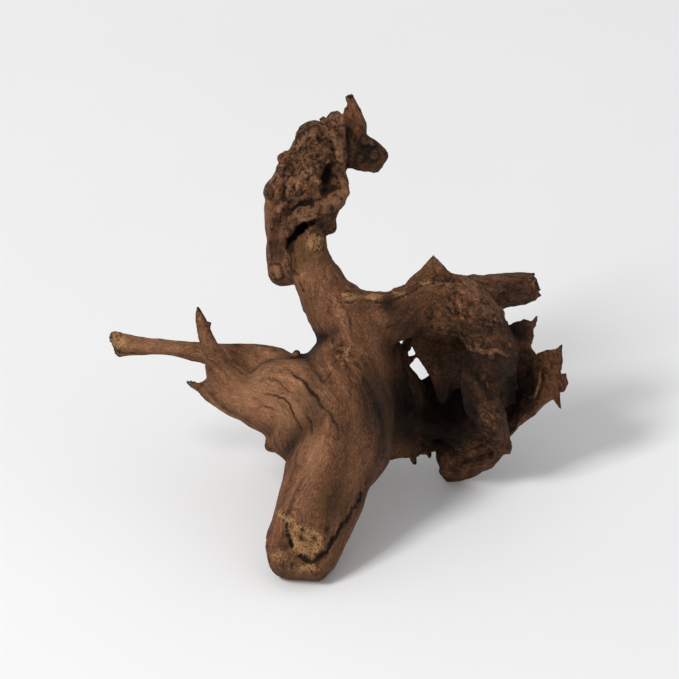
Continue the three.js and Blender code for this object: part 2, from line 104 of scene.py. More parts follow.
class Volume:
    """A grid of numbers over the wood's box."""

    def __init__(self, values, low, step):
        self.values = values
        self.low = low
        self.step = step

    def __call__(self, places):
        """The numbers at places, blended between the grid's points."""
        spot = (places - self.low) / self.step
        limit = np.array(self.values.shape[:3]) - 2
        cell = np.clip(np.floor(spot).astype(np.int32), 0, limit)
        part = np.clip(spot - cell, 0, 1).astype(np.float32)
        total = 0
        for corner in range(8):
            step = np.array([corner & 1, corner >> 1 & 1, corner >> 2 & 1])
            weight = np.prod(np.where(step == 1, part, 1 - part), axis=1)
            total = total + weight * self.values[tuple((cell + step).T)]
        return total

    def nearest(self, places):
        cell = np.rint((places - self.low) / self.step).astype(np.int32)
        cell = np.clip(cell, 0, np.array(self.values.shape[:3]) - 1)
        return self.values[cell[:, 0], cell[:, 1], cell[:, 2]]

    def slope(self, places):
        """The unit direction in which the numbers grow."""
        parts = []
        for axis in range(3):
            shift = np.zeros(3)
            shift[axis] = self.step
            parts.append(self(places + shift) - self(places - shift))
        return unit(np.stack(parts, axis=1))

    def halved(self):
        """The same numbers on every second point."""
        return Volume(self.values[::2, ::2, ::2].copy(), self.low, 2 * self.step)

    def doubled(self, shape):
        """The numbers on a grid of that shape with half the step, blended."""
        values = self.values
        for axis in range(3):
            line = np.arange(shape[axis])
            later = np.minimum((line + 1) // 2, values.shape[axis] - 1)
            values = 0.5 * (np.take(values, line // 2, axis) + np.take(values, later, axis))
        return values

    def softened(self, spread):
        return Volume(blurred(self.values, spread / self.step), self.low, self.step)

    def noise(self, seed, size):
        """Random numbers over the same grid."""
        return Volume(noise_grid(seed, size, self.values.shape, self.step), self.low, self.step)

    def coarse_cells(self):
        """The cells of the grid of grain directions, and its shape."""
        shape = tuple(int(n * self.step / FLOW_CELL) + 2 for n in self.values.shape)
        return np.argwhere(np.ones(shape, bool)), shape

    def points(self, cells):
        return (cells * self.step + self.low).astype(np.float32)


def windows(values, axis, reach):
    """The array moved along an axis by each number of cells up to reach, its edge repeated."""
    padding = [(0, 0)] * values.ndim
    padding[axis] = (reach, reach)
    padded = np.pad(values, padding, mode="edge")
    for start in range(2 * reach + 1):
        window = [slice(None)] * values.ndim
        window[axis] = slice(start, start + values.shape[axis])
        yield padded[tuple(window)]


def blurred(values, spread):
    """The array smoothed by a bell of that spread, in cells."""
    reach = max(1, math.ceil(BELL_REACH * spread))
    weights = np.exp(-0.5 * (np.arange(-reach, reach + 1) / spread) ** 2)
    weights = (weights / weights.sum()).astype(np.float32)
    for axis in range(3):
        total = np.zeros_like(values)
        for weight, window in zip(weights, windows(values, axis, reach)):
            total += weight * window
        values = total
    return values


def highest_near(values, cells):
    """The array with each number replaced by the highest one within so many cells."""
    for axis in range(3):
        values = np.maximum.reduce(list(windows(values, axis, cells)))
    return values


def fade(values, start, end):
    """0 at start and before it, 1 at end and past it."""
    share = np.clip((values - start) / (end - start), 0, 1)
    return share * share * (3 - 2 * share)


class Brush:
    """Round marks over the wood's grid. Where they meet, the stronger one counts."""

    TAPER = 3.2  # how fast a stroke grows from its ends
    END_AMOUNT = 0.25  # shares of a stroke's amount and radius at its very ends
    END_RADIUS = 0.45

    def __init__(self, like):
        self.volume = Volume(np.zeros_like(like.values), like.low, like.step)

    def mark(self, centre, radius, amount, core=0.0):
        """A mark that is strongest within the core's share of its radius and fades to its rim."""
        grid = self.volume
        first = np.maximum(np.ceil((centre - radius - grid.low) / grid.step).astype(int), 0)
        last = np.floor((centre + radius - grid.low) / grid.step).astype(int) + 1
        last = np.minimum(last, grid.values.shape)
        if np.any(last <= first):
            return
        away = 0
        for axis in range(3):
            line = np.arange(first[axis], last[axis]) * grid.step + grid.low[axis] - centre[axis]
            away = away + (line**2).reshape([-1 if a == axis else 1 for a in range(3)])
        strength = np.minimum((1 - np.sqrt(away) / radius) * (amount / (1 - core)), amount)
        block = grid.values[tuple(slice(a, b) for a, b in zip(first, last))]
        np.maximum(block, strength, out=block)

    def stroke(self, path, radius, amount, core=0.0):
        """Marks along a path of places, thinning out to both ends."""
        for share, place in zip(np.linspace(0, 1, len(path)), path):
            taper = min(1.0, self.TAPER * min(share, 1 - share) + self.END_AMOUNT)
            width = radius * (self.END_RADIUS + (1 - self.END_RADIUS) * taper)
            self.mark(place, width, amount * taper, core)


# Meshes, and the solid as distances

def arrays_of(mesh):
    """A mesh's corners and its triangles."""
    corners = np.empty(len(mesh.vertices) * 3, np.float32)
    mesh.vertices.foreach_get("co", corners)
    faces = np.empty(len(mesh.loops), np.int32)
    mesh.loops.foreach_get("vertex_index", faces)
    return corners.reshape(-1, 3), faces.reshape(-1, 3)


def new_mesh(name, corners, faces):
    """A mesh whose faces all have the same number of corners."""
    mesh = bpy.data.meshes.new(name)
    mesh.vertices.add(len(corners))
    mesh.vertices.foreach_set("co", corners.astype(np.float32).ravel())
    mesh.loops.add(faces.size)
    mesh.loops.foreach_set("vertex_index", faces.astype(np.int32).ravel())
    mesh.polygons.add(len(faces))
    mesh.polygons.foreach_set("loop_start", np.arange(0, faces.size, faces.shape[1], dtype=np.int32))
    mesh.update(calc_edges=True)
    return mesh


def distances(corners, faces):
    """The distance to the surface over a grid, in millimetres: negative inside the wood."""
    grid = openvdb.FloatGrid.createLevelSetFromPolygons(
        corners.astype(np.float32),
        triangles=faces.astype(np.uint32),
        transform=openvdb.createLinearTransform(voxelSize=VOXEL),
        halfWidth=BAND,
    )
    low, high = grid.evalActiveVoxelBoundingBox()
    values = np.empty(tuple(h - l + 1 for l, h in zip(low, high)), np.float32)
    grid.copyToArray(values, ijk=low)
    return Volume(values, np.array(low) * VOXEL, VOXEL)


# What the photograph shows, as lines and spots in its own pixels

def flat_at(u, v):
    """How far right and up a pixel lies, in mm."""
    return (np.array([u, v]) - IMAGE_SIDE / 2) * [1, -1] * PIXEL + AIM


class Front:
    """Finds what the photograph's view sees of the wood."""

    CELL = 1.6  # mm

    def __init__(self, solid):
        self.solid = solid
        inside = np.argwhere(solid.values < 0) * solid.step + solid.low
        flat = inside @ np.stack([RIGHT, UP], axis=1)
        self.low = flat.min(axis=0) - 4 * self.CELL
        cell = self.cells(flat)
        shape = cell.max(axis=0) + 5
        self.depths = np.full(shape, FAR, np.float32)
        np.minimum.at(self.depths, tuple(cell.T), (inside @ BACK).astype(np.float32))

    def cells(self, flat):
        return np.rint((flat - self.low) / self.CELL).astype(np.int32)

    def pixels(self, places):
        """Where places show in the photograph."""
        flat = places @ np.stack([RIGHT, UP], axis=1)
        return (flat - AIM) / PIXEL * [1, -1] + IMAGE_SIDE / 2

    def seen(self, places, skin=5.0):
        """1 on the wood that the view sees, fading to 0 over skin millimetres behind it."""
        flat = places @ np.stack([RIGHT, UP], axis=1)
        nearest = self.depths[tuple(np.clip(self.cells(flat), 0, np.array(self.depths.shape) - 1).T)]
        behind = places @ BACK - nearest
        return np.clip(2 - behind / skin, 0, 1)

    def spot(self, u, v):
        """The place on the wood's front that shows at a pixel."""
        flat = flat_at(u, v)
        cell = self.cells(flat)
        near = self.depths[cell[0] - 1:cell[0] + 2, cell[1] - 1:cell[1] + 2].min()
        return RIGHT * flat[0] + UP * flat[1] + BACK * near


def to_line(pixels, line):
    """Each pixel's distance to a line of points, and the line's direction there."""
    best = np.full(len(pixels), FAR, np.float32)
    heading = np.zeros((len(pixels), 2), np.float32)
    line = np.array(line, np.float32)
    for start, end in zip(line[:-1], line[1:]):
        along = end - start
        length = np.linalg.norm(along)
        share = np.clip((pixels - start) @ along / length**2, 0, 1)
        away = np.linalg.norm(pixels - start - share[:, None] * along, axis=1)
        closer = away < best
        best[closer] = away[closer]
        heading[closer] = along / length
    return best, heading


# The way the grain runs on the front, from the foot outward
GRAIN_LINES = [
    [(268, 562), (278, 505), (287, 455), (286, 420), (268, 395), (240, 378), (205, 368)],
    [(285, 570), (296, 510), (306, 455), (303, 415), (286, 385), (262, 362), (250, 345)],
    [(312, 575), (318, 510), (326, 455), (322, 410), (302, 372), (297, 340), (306, 300), (314, 250)],
    [(340, 545), (352, 500), (360, 455), (352, 405), (338, 370), (326, 335), (330, 300), (322, 250)],
    [(365, 500), (378, 455), (380, 405), (372, 365), (360, 335), (368, 312), (392, 305)],
    [(345, 300), (375, 297), (405, 296), (425, 288), (450, 283)],
    [(372, 330), (398, 316), (425, 305), (450, 300), (480, 312), (508, 330)],
    [(405, 335), (430, 322), (455, 330), (480, 350), (497, 380), (505, 410)],
    [(250, 362), (215, 352), (175, 343), (118, 337)],
    [(250, 385), (232, 360), (215, 338), (200, 310)],
    [(310, 255), (290, 240), (278, 215), (282, 185), (300, 165), (322, 150)],
    [(318, 230), (330, 205), (322, 180), (310, 160)],
    [(300, 140), (330, 125), (352, 132), (372, 152)],
    [(352, 125), (358, 100)],
    [(395, 365), (402, 400), (412, 445)],
    [(462, 345), (485, 372), (500, 400), (490, 430), (470, 455)],
    [(528, 350), (550, 370), (560, 392), (545, 412), (520, 425)],
    [(470, 300), (500, 290), (535, 280)],
]
GRAIN_REACH = 12  # px, how far a line's guidance spreads
GRAIN_OWN = 0.35  # the pull of the wood's own long direction against a drawn line's
GRAIN_TURN = 0.35  # radians that the grain wanders
GRAIN_HILLS = 30  # mm from one turn of it to the next
GRAIN_SKIN = 8  # mm: the drawn lines guide the grain this far behind the seen front, and fade out
OUTLOOK_SPREAD = 4  # cells around that show the wood's own long direction
FLOW_SPREAD = 1.3  # cells, what evens the directions out

# Knots that the grain flows round: u, v, radius in mm
KNOTS = [(430, 315, 4)]

# Cracks: depth and half width in mm, then the line
CRACKS = [
    (1.0, 0.5, [(325, 435), (330, 450), (330, 462), (327, 476)]),
    (1.0, 0.5, [(295, 435), (291, 450), (285, 476)]),
    (1.0, 0.5, [(305, 443), (296, 452), (288, 462)]),
    (1.0, 0.5, [(357, 395), (365, 417), (370, 431)]),
    (0.8, 0.4, [(250, 420), (258, 424), (270, 430)]),
    (0.8, 0.4, [(262, 372), (275, 376), (284, 390)]),
    (0.9, 0.4, [(310, 470), (306, 490), (300, 512)]),
    (0.9, 0.4, [(335, 470), (332, 488), (326, 506)]),
    (0.9, 0.4, [(284, 490), (280, 505), (277, 518)]),
    (0.9, 0.5, [(345, 300), (352, 318), (349, 336)]),
    (0.9, 0.5, [(322, 262), (328, 278), (338, 292)]),
    (0.9, 0.5, [(312, 258), (314, 276), (322, 292)]),
    (2.6, 1.0, [(278, 357), (288, 369), (300, 378), (312, 391), (320, 405), (332, 416), (338, 428),
                (338, 447)]),
    (2.2, 0.9, [(253, 392), (268, 394), (282, 397), (289, 403), (292, 412), (299, 425), (306, 437)]),
    (2.0, 0.8, [(311, 368), (318, 376), (323, 383), (329, 375), (333, 363)]),
    (1.6, 0.8, [(248, 411), (262, 405), (279, 411)]),
    (1.6, 0.8, [(306, 412), (311, 424), (313, 440)]),
    (1.4, 0.7, [(324, 408), (321, 424), (315, 440), (314, 452)]),
    (1.6, 0.8, [(268, 370), (280, 385), (300, 398)]),
    (1.4, 0.7, [(345, 350), (352, 380), (350, 412)]),
    (1.5, 0.7, [(298, 446), (292, 470), (289, 492)]),
    (1.2, 0.6, [(322, 455), (319, 480), (317, 500)]),
    (1.2, 0.6, [(306, 440), (303, 465)]),
    (1.2, 0.8, [(288, 243), (291, 264), (300, 286)]),
    (1.4, 0.8, [(295, 241), (299, 230), (308, 225), (320, 226)]),
    (1.0, 0.7, [(291, 240), (296, 226), (306, 221), (322, 219)]),
    (2.6, 1.5, [(296, 180), (292, 200), (288, 222)]),
    (2.6, 1.6, [(312, 168), (318, 183), (310, 200)]),
    (2.2, 1.4, [(304, 128), (318, 140), (338, 142)]),
    (2.0, 1.2, [(283, 160), (296, 150), (308, 148)]),
    (1.4, 0.8, [(220, 350), (240, 372), (258, 380)]),
    (1.2, 0.7, [(150, 343), (190, 350), (230, 358)]),
    (1.6, 0.8, [(380, 330), (402, 322), (420, 322)]),
    (1.8, 1.0, [(440, 300), (452, 312), (462, 330)]),
    (1.6, 0.9, [(470, 365), (484, 385), (490, 408)]),
    (1.6, 0.8, [(535, 360), (548, 376), (552, 396)]),
]

# The old break at the foot: a crumbling tongue of wood above a split
SPLIT_RADIUS = (1.1, 2.6)  # mm, least and most
SPLIT_DEPTH = (2.4, 5.0)  # mm, least and most
SPLIT = [
    (285, 524), (287, 533), (290, 543), (295, 553), (303, 560), (315, 562), (327, 553), (337, 538),
    (346, 524), (357, 509), (365, 494),
]
# Fibres that have broken up: u, v and radius in px
CRUMBS = [
    (315, 238, 8), (533, 283, 6), (118, 336, 8), (306, 541, 15), (294, 528, 10), (316, 550, 12),
    (284, 516, 7), (304, 553, 9), (270, 548, 7), (312, 568, 11), (288, 566, 10),
]

# Folds that close gaps: u, v, the depth along the view and the radius in mm
FOLDS = [
    (291, 268, -44, 7), (294, 257, -45, 7), (298, 247, -46, 6.5), (302, 239, -46, 5), (511, 381, 2, 7),
    (508, 397, 2, 7),
]

# Wide hollows between the folds: depth and half width in mm, then the line
VALLEYS = [
    (1.2, 9.0, [(333, 246), (338, 258), (346, 270), (360, 281)]),
    (2.2, 3.4, [(416, 334), (428, 337), (440, 338), (456, 341), (462, 351)]),
    (2.0, 2.6, [(466, 384), (478, 392), (484, 404)]),
    (1.8, 2.4, [(476, 356), (490, 362), (503, 372)]),
    (1.8, 2.4, [(470, 400), (484, 414), (498, 420)]),
    (1.6, 2.4, [(485, 440), (470, 448), (452, 452)]),
    (2.6, 3.6, [(278, 222), (275, 240), (279, 258)]),
    (2.4, 3.0, [(276, 207), (284, 192), (294, 184)]),
    (3.0, 3.8, [(291, 211), (297, 203), (310, 196), (322, 190)]),
    (4.0, 4.6, [(322, 171), (330, 180), (324, 194)]),
    (1.6, 2.4, [(296, 226), (313, 222), (331, 217)]),
    (3.0, 4.0, [(309, 143), (316, 150), (328, 152)]),
    (2.4, 3.0, [(342, 128), (342, 145), (343, 162)]),
    (2.2, 3.0, [(287, 158), (292, 168), (288, 180)]),
    (1.4, 2.2, [(290, 240), (291, 262), (299, 284)]),
    (2.6, 2.6, [(303, 236), (306, 228), (316, 224)]),
    (2.6, 3.0, [(345, 128), (346, 148), (347, 166)]),
    (2.2, 3.0, [(322, 122), (325, 130), (318, 138)]),
    (2.0, 2.6, [(463, 350), (478, 362), (510, 375)]),
    (2.2, 2.8, [(465, 358), (484, 378), (497, 394)]),
    (2.4, 3.4, [(506, 384), (512, 398), (508, 414)]),
    (2.4, 3.4, [(513, 366), (519, 374), (516, 382)]),
    (1.6, 2.6, [(455, 296), (461, 316), (468, 330)]),
    (2.0, 3.0, [(405, 352), (412, 380), (418, 420)]),
    (1.8, 2.6, [(478, 436), (488, 446), (500, 444)]),
]

# Raised lines: height and half width in mm, then the line
RIDGES = [
    (1.6, 1.8, [(415, 329), (428, 331), (440, 333), (458, 335), (464, 342), (471, 351)]),
    (1.4, 1.6, [(500, 302), (504, 312), (507, 320)]),
    (1.3, 1.5, [(474, 366), (486, 376), (492, 392), (488, 404)]),
    (1.6, 1.6, [(496, 410), (501, 420), (505, 428)]),
    (1.3, 1.5, [(286, 184), (284, 200), (279, 214), (277, 226)]),
    (1.3, 1.5, [(300, 132), (304, 146), (303, 158)]),
    (1.4, 1.6, [(318, 124), (314, 134), (318, 148), (316, 160)]),
    (1.3, 1.6, [(334, 128), (336, 140), (343, 152), (342, 168)]),
    (1.4, 1.4, [(316, 164), (324, 163), (333, 163)]),
    (1.3, 1.6, [(284, 168), (290, 174), (288, 186)]),
    (2.2, 1.9, [(339, 299), (354, 300), (362, 295), (372, 298), (386, 300)]),
    (1.3, 1.4, [(346, 292), (356, 292), (363, 290)]),
    (1.8, 1.6, [(384, 300), (400, 294), (420, 284), (434, 279), (447, 281)]),
    (1.3, 1.3, [(308, 240), (311, 232), (315, 231)]),
    (1.3, 1.3, [(317, 232), (321, 241), (324, 252)]),
    (1.0, 1.2, [(312, 236), (315, 246), (319, 254)]),
    (2.4, 1.9, [(270, 233), (274, 215), (282, 197), (292, 181), (302, 177), (306, 170), (300, 156),
                (307, 147)]),
    (2.2, 1.8, [(289, 206), (294, 199), (296, 188), (300, 182), (310, 172), (319, 164), (331, 161)]),
    (2.6, 4.6, [(289, 228), (296, 217), (311, 212), (328, 206), (342, 196), (346, 184)]),
    (2.0, 2.0, [(338, 171), (344, 184), (346, 197)]),
    (2.2, 2.4, [(330, 129), (337, 142), (338, 156), (341, 164)]),
    (1.8, 1.6, [(285, 239), (286, 260), (293, 279), (302, 291)]),
    (1.6, 1.6, [(287, 238), (290, 230), (298, 225)]),
    (1.8, 2.2, [(281, 148), (287, 156), (296, 160)]),
    (1.8, 1.5, [(450, 275), (458, 299), (464, 313), (469, 321), (485, 323), (502, 325)]),
    (1.6, 1.6, [(466, 403), (474, 420), (490, 433), (501, 436)]),
    (1.6, 1.5, [(490, 412), (502, 427)]),
    (2.0, 1.6, [(512, 382), (520, 391), (530, 400), (538, 393), (542, 368), (539, 358)]),
    (1.6, 1.8, [(462, 345), (478, 352), (500, 350), (520, 360)]),
]

# Small knobs: u, v, height and radius in mm
KNOBS = [
    (296, 354, 2.2, 3.0), (457, 303, 2.4, 2.4), (463, 312, 2.2, 2.2), (469, 322, 2.4, 2.6),
    (486, 300, 1.8, 3.0), (497, 318, 2.0, 3.0), (478, 342, 2.4, 3.4), (492, 356, 2.0, 3.0),
    (512, 345, 2.2, 3.0), (469, 348, 2.4, 2.4), (429, 312, 1.6, 2.6), (337, 118, 3.4, 5.2),
    (311, 129, 3.2, 5.2), (300, 137, 3.0, 4.6), (330, 136, 2.4, 3.2), (281, 158, 2.2, 3.6),
    (303, 196, 2.4, 3.4), (323, 119, 2.4, 3.4), (365, 141, 2.4, 3.4), (374, 155, 2.6, 3.6),
    (360, 158, 2.0, 3.0), (372, 143, 2.2, 2.8), (268, 192, 2.2, 3.6), (276, 272, 2.0, 5.5),
    (343, 119, 3.0, 4.0),
]

# Holes worn in from the front: u, v, depth and radius in mm
HOLES = [
    (326, 172, 4.5, 4.0), (323, 192, 4.0, 3.4), (305, 230, 2.0, 2.4), (286, 541, 2.0, 2.0),
    (517, 371, 3.5, 3.4), (455, 390, 3.5, 4.0), (313, 146, 3.2, 3.6), (318, 133, 3.0, 2.2),
    (489, 322, 2.2, 2.4), (300, 192, 2.6, 1.8), (505, 300, 2.0, 2.6), (476, 390, 2.0, 2.6),
    (327, 116, 2.6, 2.0), (282, 196, 2.0, 2.4), (296, 203, 3.0, 2.4), (313, 205, 2.4, 1.8),
    (335, 176, 3.0, 2.0), (340, 132, 2.6, 2.0), (305, 134, 2.6, 2.0), (455, 301, 2.6, 1.8),
    (490, 401, 2.4, 2.0), (333, 190, 2.8, 1.8), (275, 248, 3.0, 2.4), (281, 232, 2.6, 2.0),
    (461, 318, 2.2, 1.8),
]

# Places with a character of their own: u, v and the two radii in px, then how much
CURL = [(312, 165, 62, 88, 1)]
BURL = [
    (490, 370, 80, 95, 1), (470, 300, 45, 40, 1), (342, 355, 18, 18, 0.7), (460, 455, 50, 30, 1),
]
# Torn ends, where the pale wood inside shows
BROKEN = [
    (118, 338, 15, 13, 1.0), (315, 241, 12, 14, 1.0), (201, 316, 7, 14, 0.3), (306, 541, 22, 20, 1.0),
    (290, 524, 11, 11, 0.7), (280, 514, 8, 9, 0.4), (533, 282, 8, 7, 0.35), (308, 568, 16, 9, 0.55),
    (280, 556, 16, 14, 0.35), (345, 352, 15, 15, 0.3), (330, 345, 9, 5, 0.3), (350, 296, 14, 5, 0.8),
    (374, 297, 13, 5, 0.8), (400, 293, 14, 4, 0.5), (426, 283, 16, 4, 0.5),
]
# Edges that have worn through to pale wood, and painted highlight along lit edges
RIMS_WORN_AND_LIT = [
    (360, 296, 30, 10, 2.0), (420, 288, 45, 12, 1.0), (316, 240, 12, 14, 1.0), (300, 165, 50, 70, 0.5),
    (322, 570, 12, 8, 0.8), (285, 562, 14, 14, 0.6), (522, 393, 16, 12, 1.0), (560, 404, 6, 6, 0.8),
    (465, 312, 14, 22, 0.8), (487, 324, 22, 6, 0.9), (440, 333, 30, 6, 0.8), (485, 425, 22, 18, 0.8),
    (470, 349, 8, 5, 0.9), (532, 325, 8, 16, 1.0), (338, 150, 10, 40, 0.8), (510, 430, 10, 14, 0.7),
    (545, 362, 10, 20, 0.5), (212, 380, 25, 10, 0.6),
]
# How light the wood is, from -1 to 1: partly the wood's own colour, partly painted light on the lit left
# side and painted shade on the right side and in shadowed hollows
TONE_AND_PAINTED_LIGHT = [
    (318, 224, 14, 6, -0.6), (348, 145, 4, 26, -0.7), (450, 412, 34, 34, -1.0), (404, 410, 14, 50, -0.4),
    (510, 287, 42, 22, -0.3), (548, 380, 26, 45, 0.05), (530, 390, 8, 40, -0.7), (372, 500, 18, 40, -0.3),
    (430, 310, 34, 24, 0.25), (490, 345, 26, 22, 0.2), (300, 170, 50, 75, 0.3), (312, 212, 32, 14, -0.55),
    (487, 415, 16, 18, 0.3), (475, 380, 105, 120, -0.85), (405, 320, 45, 60, -0.4), (150, 343, 90, 30, 0.7),
    (245, 385, 55, 50, 0.75), (295, 395, 48, 60, 0.85), (372, 400, 30, 80, -0.55),
    (338, 500, 30, 60, -0.45), (315, 455, 28, 45, 0.7), (305, 500, 26, 40, 0.35), (388, 306, 13, 14, -0.6),
    (325, 330, 40, 40, 0.15), (312, 262, 22, 40, 0.3), (305, 175, 55, 75, -0.15), (320, 205, 30, 14, -0.25),
    (326, 173, 10, 10, -0.7), (368, 150, 26, 34, -0.9), (355, 118, 14, 26, 0.2), (425, 305, 40, 40, -0.15),
    (478, 298, 35, 30, 0.45), (405, 410, 25, 60, -0.5), (440, 435, 45, 28, -0.6), (485, 395, 26, 40, 0.2),
    (515, 396, 14, 26, -0.7), (520, 328, 16, 18, -0.8), (505, 292, 40, 22, -0.2),
    (275, 245, 12, 24, -0.5), (385, 470, 20, 90, -0.3), (300, 545, 30, 26, 0.15), (282, 272, 14, 16, 0.3),
    (292, 150, 24, 18, 0.35), (320, 130, 26, 14, 0.3), (303, 541, 26, 22, 0.8), (315, 240, 12, 14, 0.3),
    (298, 568, 26, 10, 0.3), (360, 294, 24, 8, 0.5), (425, 284, 30, 7, 0.3),
]
# How olive (-1) or red (1) the wood is
HUE = [
    (330, 505, 25, 40, -0.8), (290, 562, 44, 22, -0.5), (274, 530, 15, 16, 1.0), (318, 573, 12, 8, 0.9),
    (308, 260, 20, 30, -0.7), (365, 155, 25, 25, -0.7), (285, 440, 60, 90, 0.4), (245, 380, 50, 40, 0.3),
    (490, 395, 36, 45, 0.6), (548, 385, 25, 40, 0.6), (400, 430, 30, 40, -0.6), (355, 115, 14, 24, 0.6),
    (480, 300, 30, 25, -0.5), (425, 272, 20, 14, -0.4), (300, 128, 20, 12, -0.3), (330, 175, 20, 26, -0.3),
    (370, 300, 12, 8, -0.8), (455, 430, 30, 20, -0.6),
]


def spots(pixels, marks):
    """The marks' amounts, added up, each fading out from its middle."""
    total = np.zeros(len(pixels), np.float32)
    for u, v, wide, high, amount in marks:
        away = np.hypot((pixels[:, 0] - u) / wide, (pixels[:, 1] - v) / high)
        total += amount * np.square(np.clip(1.25 - away, 0, 1))
    return total


# Grain

def flow_of(solid, front):
    """The direction of the grain on a coarse grid of cells near the surface."""
    cells, shape = solid.coarse_cells()
    places = cells * FLOW_CELL + solid.low
    near = np.abs(solid(places)) < 2.2 * FLOW_CELL  # two cells and a little
    cells = cells[near]
    places = places[near]
    normals = solid.slope(places)

    # The wood's own long direction: across all the ways that the surface faces nearby
    outlook = np.zeros(shape + (3, 3), np.float32)
    outlook[tuple(cells.T)] = normals[:, :, None] * normals[:, None, :]
    _, axes = np.linalg.eigh(blurred(outlook, OUTLOOK_SPREAD)[tuple(cells.T)])
    along = axes[:, :, 0]
    spread = GRAIN_OWN * along[:, :, None] * along[:, None, :]

    pixels = front.pixels(places)
    seen = front.seen(places, GRAIN_SKIN)
    for line in GRAIN_LINES:
        away, heading = to_line(pixels, line)
        guide = heading[:, :1] * RIGHT - heading[:, 1:] * UP
        guide -= dot(guide, normals)[:, None] * normals
        guide = unit(guide)
        weight = seen * np.exp(-0.5 * (away / GRAIN_REACH) ** 2)
        spread += (weight[:, None] * guide)[:, :, None] * guide[:, None, :]

    tensors = np.zeros(shape + (3, 3), np.float32)
    tensors[tuple(cells.T)] = spread
    _, axes = np.linalg.eigh(blurred(tensors, FLOW_SPREAD)[tuple(cells.T)])
    along = axes[:, :, 2]
    along = unit(along - dot(along, normals)[:, None] * normals)

    hills = Volume(noise_grid(40, GRAIN_HILLS, shape, FLOW_CELL), solid.low, FLOW_CELL)
    turn = GRAIN_TURN * hills(places)
    across = np.cross(normals, along)
    along = np.cos(turn)[:, None] * along + np.sin(turn)[:, None] * across
    for u, v, radius in KNOTS:  # the grain runs round each
        away = places - front.spot(u, v)
        reach = np.linalg.norm(away, axis=1, keepdims=True) + TINY
        toward = away / reach
        bend = np.minimum((1.5 * radius / reach) ** 2, 1)
        along = along - bend * (2 * dot(along, toward)[:, None] * toward - along)

    flow = np.zeros(shape + (3,), np.float32)
    flow[tuple(cells.T)] = unit(along)
    return Volume(flow, solid.low, FLOW_CELL)


# The finer piece

def rounded_line(line, rounds=2):
    """A line with its corners cut off, again and again."""
    line = np.array(line, float)
    for _ in range(rounds):
        first, second = line[:-1], line[1:]
        cut = np.stack([0.75 * first + 0.25 * second, 0.25 * first + 0.75 * second], axis=1)
        line = np.concatenate([line[:1], cut.reshape(-1, 2), line[-1:]])
    return line


PATH_STEP = 1.3  # px between a path's places
SWAYS = (19, 9, 5)  # px, the wavelengths of a path's wander


def path_on(front, line, seed, wander=0.9):
    """The places on the wood's front under a line of pixels, with a little wander."""
    line = rounded_line(line)
    lengths = np.linalg.norm(np.diff(line, axis=0), axis=1)
    reached = np.concatenate([[0], np.cumsum(lengths)])
    steps = np.arange(0, reached[-1], PATH_STEP)
    pixels = np.stack([np.interp(steps, reached, line[:, axis]) for axis in range(2)], axis=1)
    draw = np.random.default_rng(seed)
    for length in SWAYS:
        phases = draw.random(2) * 2 * math.pi
        sway = np.stack([np.sin(steps * 2 * math.pi / length + phase) for phase in phases], axis=1)
        pixels += sway * wander * length / 24
    places = np.stack([front.spot(u, v) for u, v in pixels])
    return settled(front.solid, places)


THIN = 3.0  # mm: wood with a core less deep than this keeps its surface
THICK = 5.5  # mm: wood with a deeper core is smoothed all the way
FACET_SPREAD = 2.3  # mm, what smooths the facets
CREASE_SPREAD = 3.0  # mm, what fills the creases


def smoothed(solid, near):
    """The wood without facets or knife-sharp creases, its thin parts kept, and half its thickness."""
    half = solid.halved()
    shape = solid.values.shape
    depths = Volume(highest_near(-half.values, 3), half.low, half.step)
    core = depths.softened(half.step).doubled(shape)[near]
    values = solid.values[near]
    even = half.softened(FACET_SPREAD).doubled(shape)[near] - 0.15
    rounded = values + fade(core, THIN, THICK) * (even - values)
    return np.minimum(rounded, half.softened(CREASE_SPREAD).doubled(shape)[near] + 0.3), core


def spread_of(solid, near, front, measure):
    """What a function of places says near the surface, worked out on every second point."""
    half = solid.halved()
    around = np.nonzero(np.abs(half.values) < SKIN + 1.5)  # so that the skin's own edge is blended too
    values = np.zeros_like(half.values)
    values[around] = measure(front, half.points(np.stack(around, axis=1)))
    return Volume(values, half.low, half.step).doubled(solid.values.shape)[near]


def onward(flow, places, heading):
    """The grain's direction at places, the way round that it was being followed."""
    turned = flow.nearest(places)
    turned = turned * np.where(dot(turned, heading) < 0, -1, 1)[:, None]
    lost = dot(turned, turned) < 0.5
    return np.where(lost[:, None], heading, turned)


def along_grain(flow, starts, reach, step=1.0):
    """A path from each start along the grain, reach millimetres long."""
    paths = [starts]
    heading = flow.nearest(starts)
    for _ in range(int(reach / step)):
        paths.append(paths[-1] + heading * step)
        heading = onward(flow, paths[-1], heading)
    return np.stack(paths, axis=1)


def on_surface(solid, seed, count):
    """Random places on the surface."""
    draw = np.random.default_rng(seed)
    cells = np.argwhere(np.abs(solid.values) < 0.5 * solid.step)
    return settled(solid, solid.points(cells[draw.integers(len(cells), size=count)]))


def settled(solid, paths):
    """Places or paths moved onto the surface."""
    places = paths.reshape(-1, 3)
    places = places - solid(places)[:, None] * solid.slope(places)
    return places.reshape(paths.shape)


GRAIN_CRACKS = [(170, 14), (120, 28), (40, 50)]  # how many, and how long in mm
GRAIN_STRANDS = [(170, 22), (120, 46)]


def grain_marks(solid, flow, slits, strands):
    """Drying cracks and raised strands along the grain."""
    draw = np.random.default_rng(31)
    for count, reach in GRAIN_CRACKS:
        starts = on_surface(solid, 32 + reach, count)
        for path in settled(solid, along_grain(flow, starts, reach)):
            depth = draw.uniform(0.6, 1.0) * (0.6 + reach / 60)  # long cracks are deeper
            slits.stroke(path, 0.85 + 0.2 * depth, depth)
    for count, reach in GRAIN_STRANDS:
        starts = on_surface(solid, 70 + reach, count)
        for path in settled(solid, along_grain(flow, starts, reach)):
            strands.stroke(path, draw.uniform(1.8, 3.4), draw.uniform(0.3, 0.8))


PIT_TRIES = 2600  # places where a pit may come, more likely the more gnarled the wood is


